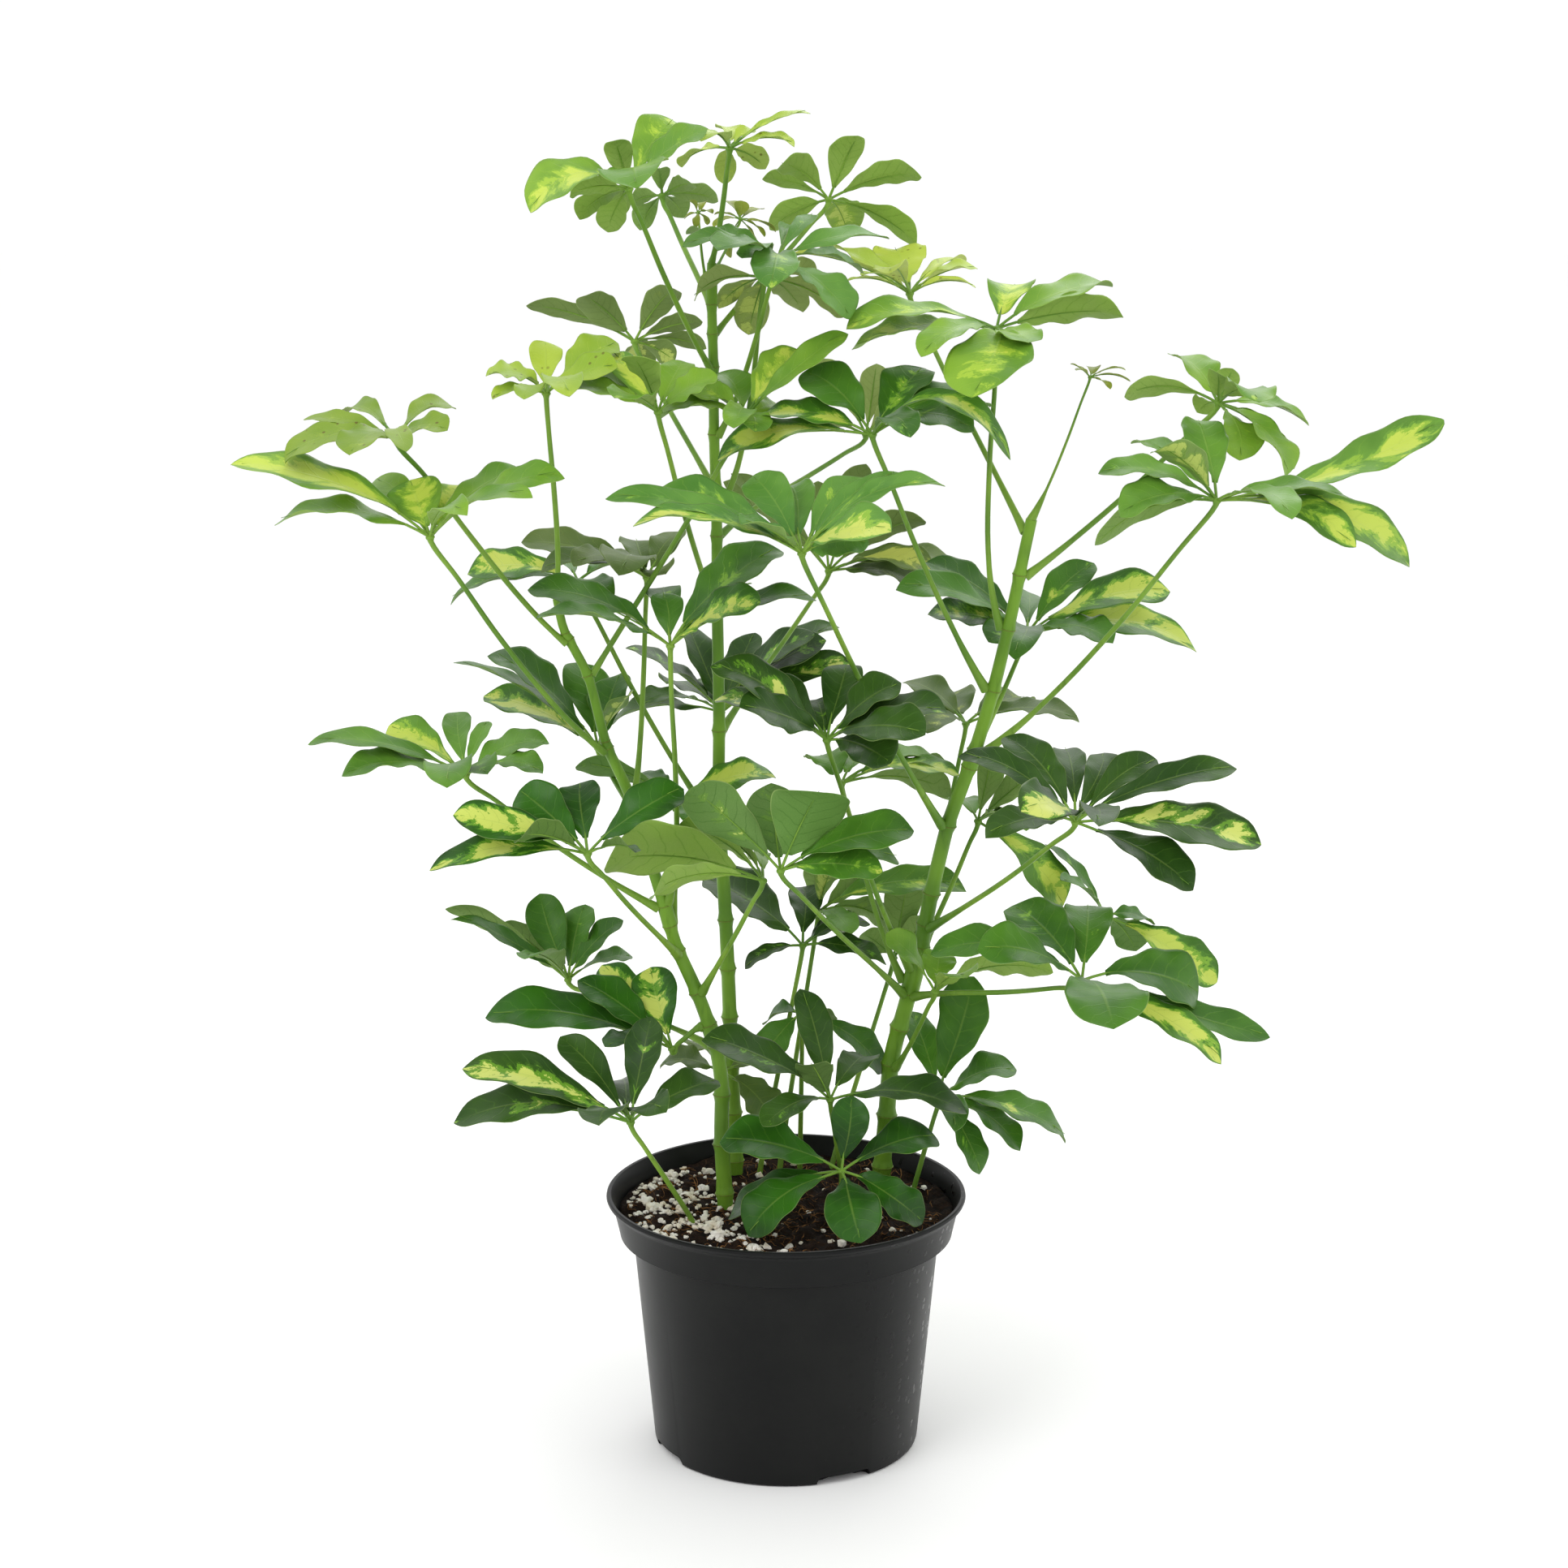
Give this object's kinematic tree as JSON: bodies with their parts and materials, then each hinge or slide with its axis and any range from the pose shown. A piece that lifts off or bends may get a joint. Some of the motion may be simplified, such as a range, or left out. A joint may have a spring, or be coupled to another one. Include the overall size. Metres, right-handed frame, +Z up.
{
  "type": "potted umbrella plant",
  "caption": "Variegated umbrella plant with upright green stems and radiating leaflets, growing in a round black nursery pot filled with peat and perlite.",
  "frame": {"origin": "middle of the pot's flat underside, on the pot's axis", "axes": "+Z up along the pot's axis, +X to the right and -Y towards the viewer of the fullest side"},
  "size_m": [0.7287, 0.4758, 0.8631],
  "materials": {
    "pot": "satin black",
    "soil": "rough, moist peat with perlite",
    "stem": "satin, green",
    "leaf_dark": "glossy dark green, cream-green variegation",
    "leaf_dull": "satin grey green",
    "leaf_green": "glossy mid green, yellow variegation",
    "leaf_lime": "satin lime green"
  },
  "bodies": {
    "root": {"stem_left": "stem", "stem_middle": "stem", "stem_right": "stem", "leaf_base_01": "leaf_dark", "leaf_base_02": "leaf_dark", "leaf_base_03": "leaf_dark", "leaf_right_01": "leaf_dark", "leaf_left_01": "leaf_green", "leaf_right_02": "leaf_green", "leaf_right_03": "leaf_dark", "leaf_left_02": "leaf_green", "leaf_right_04": "leaf_green", "leaf_middle_01": "leaf_green", "leaf_middle_02": "leaf_dark", "leaf_left_03": "leaf_lime", "leaf_left_04": "leaf_green", "leaf_left_05": "leaf_lime", "leaf_right_05": "leaf_green", "leaf_right_06": "leaf_green", "leaf_right_07": "leaf_dark", "leaf_left_06": "leaf_dark", "leaf_left_07": "leaf_dark", "leaf_left_08": "leaf_green", "leaf_left_09": "leaf_dark", "leaf_right_08": "leaf_green", "leaf_right_09": "leaf_dark", "leaf_middle_03": "leaf_green", "leaf_right_10": "leaf_green", "leaf_base_04": "leaf_dark", "leaf_middle_04": "leaf_green", "leaf_middle_05": "leaf_lime", "leaf_middle_06": "leaf_green", "leaf_middle_07": "leaf_dull", "leaf_middle_08": "leaf_dull", "leaf_right_11": "leaf_lime", "leaf_right_12": "leaf_lime", "leaf_middle_09": "leaf_lime", "leaf_middle_10": "leaf_lime", "leaf_left_10": "leaf_dull", "leaf_left_11": "leaf_dark", "leaf_middle_11": "leaf_dark", "leaf_middle_12": "leaf_dark", "leaf_middle_13": "leaf_dull", "leaf_right_13": "leaf_green", "leaf_right_14": "leaf_dull", "leaf_right_15": "leaf_green", "leaf_right_16": "leaf_green", "leaf_right_17": "leaf_green", "leaf_middle_14": "leaf_dull", "leaf_left_12": "leaf_dark", "leaf_left_13": "leaf_green", "leaf_base_05": "leaf_dark", "leaf_base_06": "leaf_green", "leaf_base_07": "leaf_dark", "leaf_base_08": "leaf_dull", "leaf_base_09": "leaf_green", "pot": "pot", "soil": "soil"}
  },
  "joints": []
}
